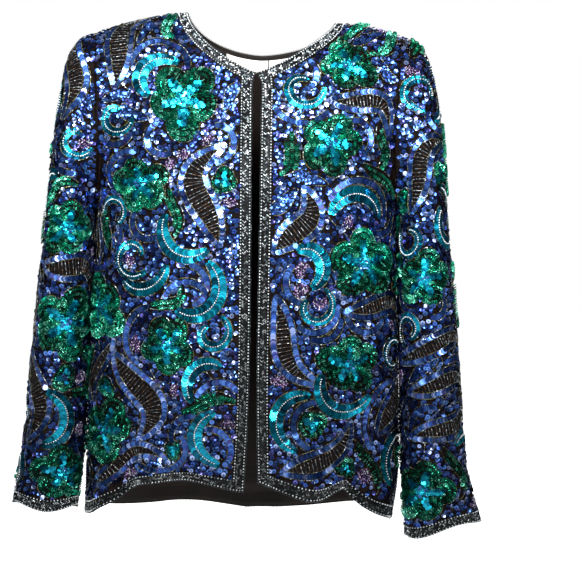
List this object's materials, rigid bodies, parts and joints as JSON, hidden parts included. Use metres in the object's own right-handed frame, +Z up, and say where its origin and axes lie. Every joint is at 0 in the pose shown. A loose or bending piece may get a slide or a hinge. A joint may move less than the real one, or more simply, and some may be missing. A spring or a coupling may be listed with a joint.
{
  "type": "beaded evening jacket",
  "caption": "Collarless open-front evening jacket with long set-in sleeves, covered in blue and green sequins, edged with a beaded band and hanging filled out.",
  "frame": {"origin": "where the jacket is held: between the two neck points, at shoulder height", "axes": "+Z up, the front of the jacket faces -Y, and the wearer's left is +X"},
  "size_m": [0.6052, 0.2022, 0.6872],
  "materials": {
    "beaded_cloth": "cloth covered in glossy blue, turquoise and green sequins and small beads",
    "beaded_band": "band of gunmetal bugle beads between rows of small silver beads",
    "lining": "black woven lining with a slight sheen",
    "label": "blank woven tab"
  },
  "bodies": {
    "root": {"front_right": "beaded_cloth", "front_left": "beaded_cloth", "back": "beaded_cloth", "sleeve_right": "beaded_cloth", "sleeve_left": "beaded_cloth", "trim_front_right": "beaded_band", "trim_front_left": "beaded_band", "trim_back_neck": "beaded_band", "trim_back_hem": "beaded_band", "trim_cuff_right": "beaded_band", "trim_cuff_left": "beaded_band", "lining_back": "lining", "label": "label", "size_tab": "label"}
  },
  "joints": []
}
